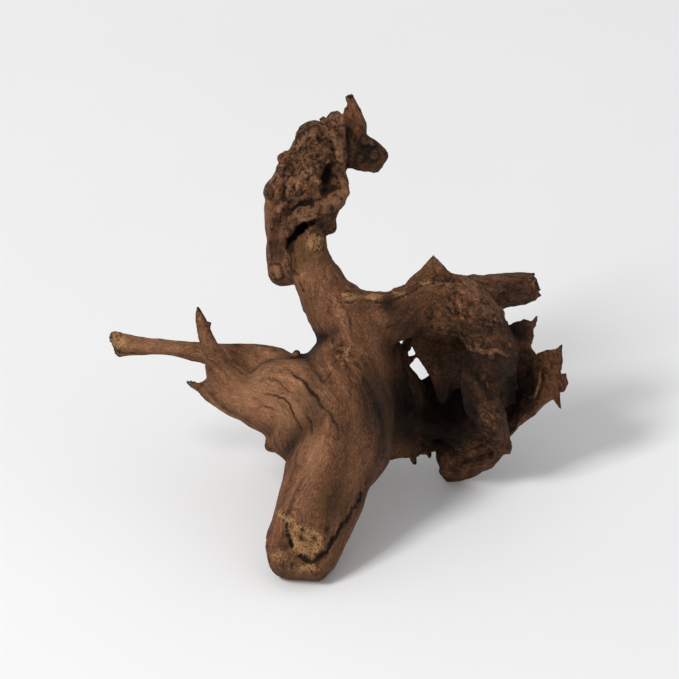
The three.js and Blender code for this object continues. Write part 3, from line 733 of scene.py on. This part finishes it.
def pitting(solid, front, dents):
    """Round pits all over the gnarled parts."""
    draw = np.random.default_rng(41)
    places = on_surface(solid, 42, PIT_TRIES)
    for place, zone in zip(places, gnarling(front, places)):
        size = draw.uniform(1.4, 4.2)
        if draw.random() < 0.6 * zone:
            dents.mark(place, size, size * draw.uniform(0.35, 0.6), 0.15)


# A mark fades to its rim, so it is drawn this much wider and stronger than what it leaves
VALLEY_GAIN = (1.1, 2.0)
RIDGE_GAIN = (1.5, 2.2)
KNOB_GAIN = (1.3, 1.7)
HOLE_GAIN = (1.1, 1.5)
CRACK_EDGE = 0.55  # mm that a crack's mark has beside most of its half width
CORE = 0.3  # the share of a broad mark that has its full strength
KNOB_CORE = 0.35
RING = np.linspace(0, 2 * math.pi, 40)


def drawn_marks(front, slits, dents, cords):
    """The cracks, holes, ridges and knobs that the photograph shows."""
    for index, (depth, half, line) in enumerate(CRACKS):
        slits.stroke(path_on(front, line, index), CRACK_EDGE + 0.8 * half, depth)
    draw = np.random.default_rng(51)
    for place in path_on(front, SPLIT, 90, 1.2):
        slits.mark(place, draw.uniform(*SPLIT_RADIUS), draw.uniform(*SPLIT_DEPTH), CORE)
    for brush, table, seed, (wider, stronger) in (
            (dents, VALLEYS, 70, VALLEY_GAIN), (cords, RIDGES, 50, RIDGE_GAIN)):
        for index, (amount, half, line) in enumerate(table):
            brush.stroke(path_on(front, line, seed + index), wider * half, stronger * amount, CORE)
    for brush, table, (wider, stronger) in ((cords, KNOBS, KNOB_GAIN), (dents, HOLES, HOLE_GAIN)):
        for u, v, amount, radius in table:
            brush.mark(front.spot(u, v), wider * radius, stronger * amount, KNOB_CORE)
    for u, v, radius in KNOTS:  # a low boss in a ring-shaped groove, a little narrower than high
        across = 0.8 * radius * np.cos(RING) / PIXEL
        ring = np.stack([u + across, v + radius * np.sin(RING) / PIXEL], axis=1)
        for place in path_on(front, ring, 80, 0.7):
            slits.mark(place, 1.0, 0.6)
        cords.mark(front.spot(u, v), radius, 0.7)


def gnarling(front, places):
    """How gnarled the wood is: most in the curl, and a little in the burl."""
    pixels = front.pixels(places)
    return np.clip(2.5 * spots(pixels, CURL), 0, 1) + 0.7 * np.clip(2.5 * spots(pixels, BURL), 0, 1)


def crumbling(front, places):
    """How far the wood has broken up into loose fibres, 0 to 1."""
    marks = [(u, v, radius, radius, 1) for u, v, radius in CRUMBS]
    return np.clip(spots(front.pixels(places), marks) * 1.6, 0, 1) * front.seen(places)


# Random swells: seed, size in mm, and height in mm on plain wood and how much more on gnarled wood
SWELLS = [(1, 15, 0.6, 0.7), (2, 7, 0.35, 0.55), (3, 3.2, 0.15, 0.6)]
# The same where it crumbles: seed, size and height in mm
CRUMB_SWELLS = [(4, 2.0, 1.2), (5, 4.0, 0.9)]


def carved(solid, front, flow):
    """The wood with its gnarls, pits, cracks and knobs, and the marks by themselves."""
    slits, dents, strands, cords = (Brush(solid) for _ in range(4))
    grain_marks(solid, flow, slits, strands)
    pitting(solid, front, dents)
    drawn_marks(front, slits, dents, cords)

    near = np.nonzero(np.abs(solid.values) < SKIN)
    values, core = smoothed(solid, near)
    gnarled = spread_of(solid, near, front, gnarling)
    crumbs = spread_of(solid, near, front, crumbling)

    def noise(seed, size):
        return solid.noise(seed, size).values[near]

    # How far the surface sinks in, in mm
    shift = sum((plain + more * gnarled) * noise(seed, size) for seed, size, plain, more in SWELLS)
    shift += crumbs * (sum(height * noise(seed, size) for seed, size, height in CRUMB_SWELLS) - 0.5)
    shift -= 0.35 * fade(core, THICK, THIN)  # thin wood keeps a little more
    shift += slits.volume.values[near] + dents.volume.values[near]
    shift -= np.maximum(strands.volume.values[near], cords.volume.values[near])
    # Thin wood is neither cut through nor swollen, and the feet stay flat
    shift = np.where(shift > 0, np.minimum(shift, 0.2 + 0.6 * (core - 1.5)), shift * fade(core, 0.5, 3))
    shift *= fade(near[2] * solid.step + solid.low[2], 0.2, 3)

    result = solid.values.copy()
    result[near] = values + shift
    floor = -(np.arange(result.shape[2]) * solid.step + solid.low[2])
    result = np.maximum(result, floor.astype(np.float32))
    return Volume(result, solid.low, solid.step), slits.volume, cords.volume


def mesh_of(solid, name):
    """The surface where the distances are zero, as a mesh in millimetres."""
    grid = openvdb.FloatGrid(float(solid.values.max()))
    grid.transform = openvdb.createLinearTransform(voxelSize=solid.step)
    start = tuple(int(n) for n in np.rint(solid.low / solid.step))
    grid.copyFromArray(solid.values, ijk=start)
    corners, _, quads = grid.convertToPolygons(0.0, 0.0)
    return new_mesh(name, corners, quads[:, ::-1])


def thinned(mesh, triangles):
    """The mesh with fewer triangles, in fewer where it's flat."""
    working = bpy.data.objects.new("working", mesh)
    bpy.context.scene.collection.objects.link(working)
    modifier = working.modifiers.new("thin", "DECIMATE")
    modifier.ratio = min(1.0, triangles / (2 * len(mesh.polygons)))
    modifier.use_collapse_triangulate = True
    graph = bpy.context.evaluated_depsgraph_get()
    thin = bpy.data.meshes.new_from_object(working.evaluated_get(graph))
    bpy.data.objects.remove(working)
    bpy.data.meshes.remove(mesh)
    return thin


def in_one_piece(corners, faces):
    """The largest connected part of a mesh."""
    label = np.arange(len(corners))
    while True:
        lowest = label[faces].min(axis=1)
        update = label.copy()
        for corner in range(3):
            np.minimum.at(update, faces[:, corner], lowest)
        update = update[update]
        update = update[update]
        if np.array_equal(update, label):
            break
        label = update
    names, sizes = np.unique(label[faces[:, 0]], return_counts=True)
    faces = faces[label[faces[:, 0]] == names[sizes.argmax()]]
    used, faces = np.unique(faces, return_inverse=True)
    return corners[used], faces.reshape(-1, 3)


def normals_of(corners, faces):
    """The outward unit direction at each corner."""
    first, second, third = (corners[faces[:, corner]] for corner in range(3))
    sides = np.cross(second - first, third - first)
    total = np.zeros_like(corners)
    for corner in range(3):
        np.add.at(total, faces[:, corner], sides)
    return unit(total)


def relief_of(corners, faces, normals, rounds):
    """How far each corner stands out from its surroundings, in millimetres: more rounds look further."""
    starts = faces.ravel()
    ends = np.roll(faces, -1, axis=1).ravel()
    counts = np.bincount(starts, minlength=len(corners)) + TINY
    flat = corners
    for _ in range(rounds):
        sums = [np.bincount(starts, flat[ends, axis], len(corners)) for axis in range(3)]
        flat = 0.5 * flat + 0.5 * np.stack(sums, axis=1) / counts[:, None]
    return dot(corners - flat, normals)


def crowding(solid, places, spread):
    """How much wood lies within a few spreads of each place, 0 to 1: over a half in a hollow."""
    cells, shape = solid.coarse_cells()
    filled = fade(solid(cells * FLOW_CELL + solid.low), 1.5, -1.5).reshape(shape).astype(np.float32)
    margin = int(BELL_REACH * spread / FLOW_CELL) + 1
    filled = np.pad(filled, margin)
    share = Volume(blurred(filled, spread / FLOW_CELL), solid.low - margin * FLOW_CELL, FLOW_CELL)
    return share(places)


def drawn_along(flow, places, noises, reach, step=1.6):
    """Each noise averaged along the grain through each place, as one row each."""
    def read(spot):
        return np.stack([noise.nearest(spot) for noise in noises])

    total = read(places)
    for sign in (1, -1):
        heading = flow.nearest(places) * sign
        spot = places.copy()
        for _ in range(int(reach / step)):
            spot = spot + heading * step
            heading = onward(flow, spot, heading)
            total += read(spot)
    return total / (total.std(axis=1, keepdims=True) + TINY)


def with_folds(solid):
    """The wood with the gaps closed that the photograph doesn't show."""
    balls = Brush(solid)
    margin = BAND * VOXEL
    for u, v, depth, radius in FOLDS:
        right, up = flat_at(u, v)
        balls.mark(RIGHT * right + UP * up + BACK * depth, radius + margin, radius + margin)
    return Volume(np.minimum(solid.values, margin - balls.volume.values), solid.low, solid.step)


GRAIN_SIZES = (2.4, 4.5, 6.5, 10)  # mm, the noises that are drawn along the grain
GROOVES = (0.2, 0.26, 0.16)  # mm, how deep the first three of them go
GRAIN_LENGTH = 40  # mm
GROOVE_LIMITS = (-1.0, 1.3)  # mm, the highest fibre and the deepest groove


def carve_wood(node):
    """The finer driftwood: its mesh, and the number fields that its colours follow."""
    corners, faces = arrays_of(node.data)
    solid = with_folds(distances(corners / MM, faces))
    front = Front(solid)
    flow = flow_of(solid, front)
    shape, slits, cords = carved(solid, front, flow)
    corners, faces = arrays_of(thinned(mesh_of(shape, "rough"), TRIANGLES))
    corners, faces = in_one_piece(corners, faces)

    noises = [solid.noise(20 + index, size) for index, size in enumerate(GRAIN_SIZES)]
    fine, streak, grain_a, grain_b = drawn_along(flow, corners, noises, GRAIN_LENGTH)
    crumbs = crumbling(front, corners)
    groove = GROOVES[0] * fine + GROOVES[1] * streak + GROOVES[2] * np.abs(grain_a) - 0.13
    groove *= (1 - 0.6 * crumbs) * fade(corners[:, 2], 0.2, 4)
    inward = -normals_of(corners, faces)
    moved = corners + inward * np.clip(groove, *GROOVE_LIMITS)[:, None]
    moved[:, 2] = np.maximum(moved[:, 2], 0)

    pixels = front.pixels(corners)
    seen = front.seen(corners, 9)
    normals = normals_of(moved, faces)
    fields = {
        "fine": fine, "streak": streak, "grain_a": grain_a, "grain_b": grain_b, "crumbs": crumbs,
        "relief": relief_of(moved, faces, normals, 3),
        "swell": relief_of(moved, faces, normals, 14),
        # How enclosed each place is: the material paints shade into hollows with crowd and nook
        "crowd": crowding(solid, corners, 14),
        "nook": crowding(shape, corners, 5),
        "crack": fade(slits(corners), 0.25, 1.0),
        "cord": cords(corners),
        "gnarled": gnarling(front, corners),
        "torn": np.clip(spots(pixels, BROKEN) * 1.5, 0, 1) * seen,
        # Pale rims: partly worn edges, partly painted highlight
        "rim": np.clip(spots(pixels, RIMS_WORN_AND_LIT) * 1.5, 0, 1) * seen,
        # Lightness spots: partly the wood's own colour, partly painted light and painted shade
        "tone_and_painted_light": np.clip(spots(pixels, TONE_AND_PAINTED_LIGHT), -1, 1),
        "hue": np.clip(spots(pixels, HUE), -1, 1),
    }
    return moved, faces, fields


def wood_piece(node):
    """The finer driftwood as an object, with its number fields as attributes."""
    corners, faces, fields = carve_wood(node)
    mesh = new_mesh("driftwood_fine", corners * MM, faces)
    mesh.shade_smooth()
    for name, values in fields.items():
        attribute = mesh.attributes.new(name, "FLOAT", "POINT")
        attribute.data.foreach_set("value", np.asarray(values, np.float32))
    piece = bpy.data.objects.new("driftwood_fine", mesh)
    bpy.context.scene.collection.objects.link(piece)
    return piece


# The wood's look

BLACK = linear(14, 8, 4)
BARK = linear(46, 27, 15)
WOOD = linear(118, 76, 50)
PALE = linear(182, 130, 94)
OLIVE = linear(92, 68, 28)
RED = linear(122, 62, 38)
TORN = linear(208, 158, 106)


class Nodes:
    """A material's nodes, made by short calls that return output sockets."""

    def __init__(self, material):
        material.use_nodes = True
        self.tree = material.node_tree
        self.tree.nodes.clear()

    def add(self, kind, inputs=(), **settings):
        node = self.tree.nodes.new(kind)
        for name, value in settings.items():
            setattr(node, name, value)
        for key, value in dict(inputs).items():
            self.feed(node.inputs[key], value)
        return node

    def feed(self, socket, value):
        if isinstance(value, bpy.types.NodeSocket):
            self.tree.links.new(value, socket)
        elif socket.type == "RGBA":
            socket.default_value = (*value, 1)
        else:
            socket.default_value = value

    def field(self, name):
        return self.add("ShaderNodeAttribute", attribute_name=name).outputs["Fac"]

    def math(self, operation, first, second):
        return self.add("ShaderNodeMath", {0: first, 1: second}, operation=operation).outputs[0]

    def times(self, first, second):
        return self.math("MULTIPLY", first, second)

    def sum(self, first, *others):
        for other in others:
            first = self.math("ADD", first, other)
        return first

    def ramp(self, value, start, end, low=0.0, high=1.0):
        """The value's way from start to end, as a number from low to high."""
        inputs = {"Value": value, "From Min": start, "From Max": end, "To Min": low, "To Max": high}
        node = self.add("ShaderNodeMapRange", inputs, interpolation_type="SMOOTHSTEP", clamp=True)
        return node.outputs["Result"]

    def mix(self, share, first, second):
        node = self.add("ShaderNodeMix", data_type="RGBA", clamp_factor=True)
        self.feed(node.inputs[0], share)
        self.feed(node.inputs[6], first)
        self.feed(node.inputs[7], second)
        return node.outputs[2]

    def vector(self, x, y, z):
        return self.add("ShaderNodeCombineXYZ", {"X": x, "Y": y, "Z": z}).outputs[0]

    def scaled(self, vector, factor):
        node = self.add("ShaderNodeVectorMath", {0: vector}, operation="SCALE")
        self.feed(node.inputs["Scale"], factor)
        return node.outputs[0]

    def plus(self, first, second):
        return self.add("ShaderNodeVectorMath", {0: first, 1: second}, operation="ADD").outputs[0]

    def noise(self, vector, scale, rough=0.55, detail=3.0):
        inputs = {"Vector": vector, "Scale": scale, "Roughness": rough, "Detail": detail}
        return self.add("ShaderNodeTexNoise", inputs, noise_dimensions="3D").outputs["Fac"]


def wood_material():
    """Weathered wood: reddish brown, streaked and cracked along its grain, dark with painted shade in its
    hollows and creases, and pale with painted highlight on its crests.
    """
    material = bpy.data.materials.new("weathered_wood")
    n = Nodes(material)
    place = n.scaled(n.add("ShaderNodeTexCoord").outputs["Object"], 1 / MM)
    names = ("grain_a", "grain_b", "streak", "fine", "tone_and_painted_light", "relief", "cord", "crumbs")
    grain_a, grain_b, streak, fine, tone_and_painted_light, relief, cord, crumbs = map(n.field, names)

    # Fibres: noise that is stretched along the grain
    def stretched(third, scale, rough, drift=0.035):
        across = n.scaled(n.vector(grain_a, grain_b, third), scale)
        return n.noise(n.plus(across, n.scaled(place, drift)), 1.0, rough)

    fibre = stretched(fine, 1.5, 0.6)
    hair = stretched(streak, 7.0, 0.7)
    thread = stretched(fine, 11.0, 0.65, 0.12)

    # Noise without a direction, from broad to fine
    blotch = n.noise(place, 0.05, 0.6)
    crust = n.noise(place, 0.17, 0.6, 4.0)
    speck = n.noise(place, 0.55, 0.65)
    rot = n.noise(place, 0.55, 0.68, 4.0)
    dust = n.noise(place, 1.1, 0.7, 2.0)

    # Drying cracks: the drawn ones, and thin lines along the grain
    line = n.math("PINGPONG", n.times(grain_b, 1.5), 0.5)
    hairline = n.times(n.ramp(line, 0.08, 0.02), n.ramp(streak, 0.1, 0.8))
    hairline = n.times(hairline, n.ramp(blotch, 0.45, 0.6, 0.0, 0.4))
    crack = n.math("MAXIMUM", hairline, n.field("crack"))

    # How light the fibres are
    light = n.sum(n.times(fibre, 1.1), n.times(hair, 1.3), n.times(n.sum(speck, -0.5), 0.7), -0.2)
    light = n.sum(light, n.times(fine, -0.09), n.times(streak, -0.06))
    # The tone spots lighten the fibres and, where high, mix in pale: partly the wood's own colour, partly
    # painted light on the lit side and painted shade on the dark side
    light = n.sum(light, n.times(tone_and_painted_light, 0.35), n.times(blotch, 0.5))
    colour = n.mix(n.ramp(light, 0.65, 1.2), BARK, WOOD)
    colour = n.mix(n.ramp(light, 1.2, 1.9), colour, PALE)
    colour = n.mix(n.ramp(tone_and_painted_light, 0.0, 1.0, 0.0, 0.6), colour, PALE)
    colour = n.mix(n.ramp(thread, 0.5, 0.36, 0.0, 0.8), colour, BARK)
    colour = n.mix(n.ramp(thread, 0.52, 0.64, 0.0, 0.5), colour, PALE)

    # Olive and red stains
    hue = n.sum(n.field("hue"), n.ramp(blotch, 0.3, 0.7, -0.35, 0.35))
    olive = n.times(n.ramp(hue, -0.1, -1.0), n.ramp(speck, 0.25, 0.7, 0.5, 1.0))
    colour = n.mix(n.times(olive, 0.6), colour, OLIVE)
    red = n.times(n.ramp(hue, 0.1, 1.0), n.ramp(fibre, 0.3, 0.6, 0.5, 1.0))
    colour = n.mix(n.times(red, 0.4), colour, RED)

    # Crests paler, partly as wear and partly as painted highlight; rims that are partly worn and partly
    # painted highlight; and torn wood with its pale inside
    standing = n.sum(relief, n.times(n.field("swell"), 0.35))
    crest_wear_and_highlight = n.times(n.ramp(standing, 0.12, 0.8), n.ramp(speck, 0.3, 0.6, 0.3, 1.0))
    colour = n.mix(n.times(crest_wear_and_highlight, 0.5), colour, PALE)
    torn = n.sum(n.field("torn"), n.times(n.sum(speck, -0.5), 1.6))
    rim = n.times(n.field("rim"), n.ramp(relief, 0.1, 0.5))
    torn = n.math("MAXIMUM", n.ramp(torn, 0.3, 0.7), rim)
    torn = n.times(torn, n.ramp(dust, 0.36, 0.56, 0.1, 0.9))
    colour = n.mix(torn, colour, TORN)

    # Pits and flecks where the wood is rotten, veins and crests where it is gnarled
    gnarled = n.math("MINIMUM", n.field("gnarled"), 1.0)
    rotten = n.math("MAXIMUM", gnarled, crumbs)
    for zone, noise, edges, paint in (
            (rotten, rot, (0.46, 0.37, 0.0, 0.75), BLACK),
            (rotten, rot, (0.56, 0.66, 0.0, 0.4), TORN),
            (gnarled, crust, (0.47, 0.39, 0.0, 0.7), BLACK),
            (gnarled, crust, (0.56, 0.66, 0.0, 0.5), PALE)):
        colour = n.mix(n.times(n.ramp(noise, *edges), zone), colour, paint)

    # Drawn cords and knobs: pale on top, partly as wear and partly as painted highlight, and black at their
    # edge as painted shade
    cord_crest_wear_and_highlight = n.times(n.ramp(cord, 0.8, 2.4), n.ramp(speck, 0.3, 0.6, 0.4, 1.0))
    colour = n.mix(n.times(cord_crest_wear_and_highlight, 0.6), colour, PALE)
    edge = n.times(n.ramp(cord, 0.0, 0.2), n.ramp(cord, 1.8, 0.5))
    edge = n.times(edge, n.ramp(speck, 0.35, 0.6, 1.0, 0.3))
    colour = n.mix(n.times(edge, 0.8), colour, BLACK)

    # Black mixed into the creases, as dirt and painted shade; into the hollows and nooks where wood crowds
    # round, as painted shade; into the cracks; and into the darker tone spots, partly the wood's own colour
    # and partly painted shade
    dark_tone_and_shade = n.times(n.ramp(tone_and_painted_light, 0.0, -1.0, 0.0, 0.85), n.math("SUBTRACT", 1.0, n.times(cord_crest_wear_and_highlight, 0.6)))
    for shade_and_dirt in (n.ramp(standing, -0.1, -0.8, 0.0, 0.85), n.ramp(n.field("crowd"), 0.4, 0.56, 0.0, 0.95),
                 n.ramp(n.field("nook"), 0.52, 0.68, 0.0, 0.8), n.times(crack, 0.92), dark_tone_and_shade):
        colour = n.mix(shade_and_dirt, colour, BLACK)

    # Fine relief
    height = n.sum(n.times(fibre, 0.7), n.times(hair, 0.45), n.times(speck, 0.25), n.times(thread, 0.5))
    height = n.sum(height, n.times(n.times(rot, rotten), 0.9), n.times(crust, rotten), n.times(crack, -0.9))
    bump = n.add("ShaderNodeBump", {"Height": height, "Distance": 0.002, "Strength": 1.0})

    shader = n.add("ShaderNodeBsdfPrincipled", {
        "Base Color": colour,
        "Roughness": n.ramp(speck, 0.3, 0.7, 0.62, 0.88),
        "Normal": bump.outputs["Normal"],
        "Specular IOR Level": 0.18,
    })
    n.add("ShaderNodeOutputMaterial", {"Surface": shader.outputs["BSDF"]})
    return material


# The studio

FLOOR_HALF = 6.0  # m
LAMP_PLACE = (-2.3, -2.0, 3.2)  # m
LAMP_POWER = 124  # W
LAMP_SIZE = 1.2  # m
SKY_STRENGTH = 0.6
CAMERA_AWAY = 2.5  # m
WOOD_MIDDLE = (0, 0, 0.12)  # m, where the lamp is aimed


def floor():
    """A wide pale floor, barely clouded."""
    material = bpy.data.materials.new("pale_floor")
    n = Nodes(material)
    place = n.add("ShaderNodeTexCoord").outputs["Object"]
    cloud = n.noise(place, 3.0)
    colour = n.mix(n.ramp(cloud, 0.3, 0.7), linear(239, 239, 239), linear(237, 237, 237))
    shader = n.add("ShaderNodeBsdfPrincipled", {"Base Color": colour, "Roughness": 0.9})
    n.add("ShaderNodeOutputMaterial", {"Surface": shader.outputs["BSDF"]})
    mesh = bpy.data.meshes.new("floor")
    signs = ((-1, -1), (1, -1), (1, 1), (-1, 1))
    mesh.from_pydata([(x * FLOOR_HALF, y * FLOOR_HALF, 0) for x, y in signs], [], [(0, 1, 2, 3)])
    mesh.materials.append(material)
    plane = bpy.data.objects.new("floor", mesh)
    bpy.context.scene.collection.objects.link(plane)


def aimed(piece, place, target):
    """Moves a lamp or camera to a place and turns it to look at a target."""
    piece.location = place
    look = Vector(target) - Vector(place)
    piece.rotation_euler = look.to_track_quat("-Z", "Y").to_euler()
    bpy.context.scene.collection.objects.link(piece)


def studio():
    """One large soft lamp from the upper left, and an even white sky."""
    scene = bpy.context.scene
    scene.view_settings.view_transform = "Standard"
    scene.world = bpy.data.worlds.new("studio")
    scene.world.use_nodes = True
    sky = scene.world.node_tree.nodes["Background"].inputs
    sky["Color"].default_value = (1, 1, 1, 1)
    sky["Strength"].default_value = SKY_STRENGTH
    lamp = bpy.data.lights.new("key", "AREA")
    lamp.energy = LAMP_POWER
    lamp.size = LAMP_SIZE
    aimed(bpy.data.objects.new("key", lamp), LAMP_PLACE, WOOD_MIDDLE)


def camera():
    """The photograph's view."""
    data = bpy.data.cameras.new("camera")
    data.type = "ORTHO"
    data.ortho_scale = IMAGE_SIDE * PIXEL * MM
    data.clip_end = 20
    target = (RIGHT * AIM[0] + UP * AIM[1]) * MM
    piece = bpy.data.objects.new("camera", data)
    aimed(piece, tuple(target - BACK * CAMERA_AWAY), tuple(target))
    bpy.context.scene.camera = piece


wood = wood_piece(bpy.data.objects[NODE])
wood.data.materials.append(wood_material())
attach(wood, "root")
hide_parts(NODE)
floor()
studio()
camera()
